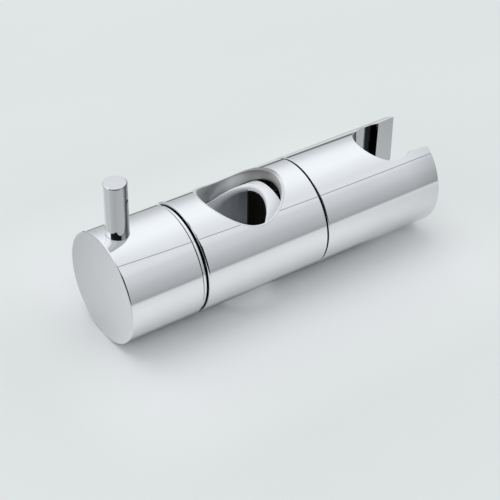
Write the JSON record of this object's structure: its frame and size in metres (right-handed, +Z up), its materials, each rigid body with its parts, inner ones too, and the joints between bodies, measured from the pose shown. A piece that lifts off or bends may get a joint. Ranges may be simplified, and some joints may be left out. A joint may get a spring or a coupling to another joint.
{
  "type": "shower rail slider",
  "caption": "Chromed barrel slider that clamps on an upright shower rail by a lever knob and holds a handset in a turning, slotted socket.",
  "frame": {"origin": "where the rail bore's axis crosses the barrel's axis", "axes": "+X along the barrel from the lever knob to the handset holder, +Z up the rail"},
  "size_m": [0.1164, 0.036, 0.0538],
  "materials": {
    "chrome": "bright chrome plate",
    "white_plastic": "satin moulded",
    "slip_plastic": "satin moulded",
    "hub_plastic": "moulded",
    "black_rubber": "matt",
    "brass": "turned",
    "steel": "zinc plated"
  },
  "bodies": {
    "body": {"slider_body": "chrome", "neck_bush": "chrome", "neck_o_ring": "black_rubber", "thrust_washer": "slip_plastic", "pivot_bush": "slip_plastic", "friction_ring": "black_rubber"},
    "knob": {"lever_knob": "chrome", "lever_pin": "chrome", "knob_hub": "hub_plastic", "knob_nut": "brass"},
    "slide": {"clamp_slide": "white_plastic", "grip_pad": "black_rubber", "clamp_screw": "steel", "stop_clip": "steel"},
    "holder": {"handset_holder": "chrome", "holder_insert": "brass", "pivot_stud": "steel", "pivot_nut": "steel", "disc_spring_left": "steel", "disc_spring_right": "steel", "pivot_washer": "steel"}
  },
  "joints": [
    {"name": "knob_turn", "type": "hinge", "parent": "body", "child": "knob", "pos_m": [-0.037, 0, 0], "axis": [1, 0, 0], "range_deg": [-1382, 230]},
    {"name": "clamp_travel", "type": "slide", "parent": "body", "child": "slide", "axis": [1, 0, 0], "range_m": [-0.0008, 0.0048]},
    {"name": "holder_turn", "type": "hinge", "parent": "body", "child": "holder", "pos_m": [0.0445, 0, 0], "axis": [1, 0, 0], "continuous": true}
  ],
  "couplings": [
    {"joint": "clamp_travel", "follows": "knob_turn", "m_per_rad": -0.00019894}
  ]
}
